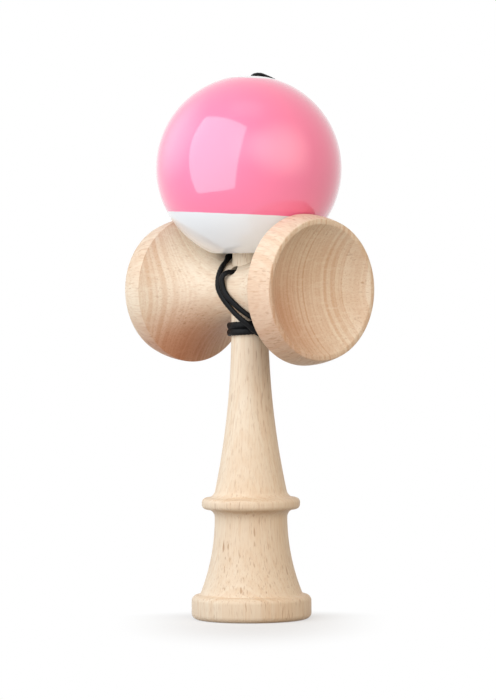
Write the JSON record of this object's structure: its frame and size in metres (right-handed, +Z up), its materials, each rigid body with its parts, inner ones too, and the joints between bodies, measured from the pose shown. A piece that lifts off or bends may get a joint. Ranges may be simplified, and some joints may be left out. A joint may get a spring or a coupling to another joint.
{
  "type": "kendama",
  "caption": "Wooden skill toy: a turned handle with a spike and base cup, a cross piece with a cup at each end, and a lacquered ball on a wound string.",
  "frame": {"origin": "middle of the base cup's rim, on the surface that the toy stands on", "axes": "+Z up along the ken to the spike, +X along the cross piece to the big cup, the string's hole in the cross piece faces -Y"},
  "size_m": [0.0721, 0.0619, 0.1772],
  "materials": {
    "beech": "bare, fine sanded",
    "lacquer": "gloss lacquer, with a white lower band and a white top",
    "bead_wood": "bare",
    "yarn": "braided, satin"
  },
  "bodies": {
    "ken": {"ken": "beech", "cross_piece": "beech", "ken_knot": "yarn", "string_wraps": "yarn", "string_run": "yarn"},
    "bead": {"bead": "bead_wood", "bead_knot": "yarn"},
    "ball": {"ball": "lacquer"}
  },
  "joints": [
    {"name": "ball_lift", "type": "slide", "parent": "ken", "child": "bead", "axis": [0, 0, 1], "range_m": [0, 0.045], "deforming": ["string_run"]},
    {"name": "ball_spin", "type": "hinge", "parent": "bead", "child": "ball", "pos_m": [0, 0, 0.1457], "axis": [0, 0, 1], "continuous": true}
  ]
}
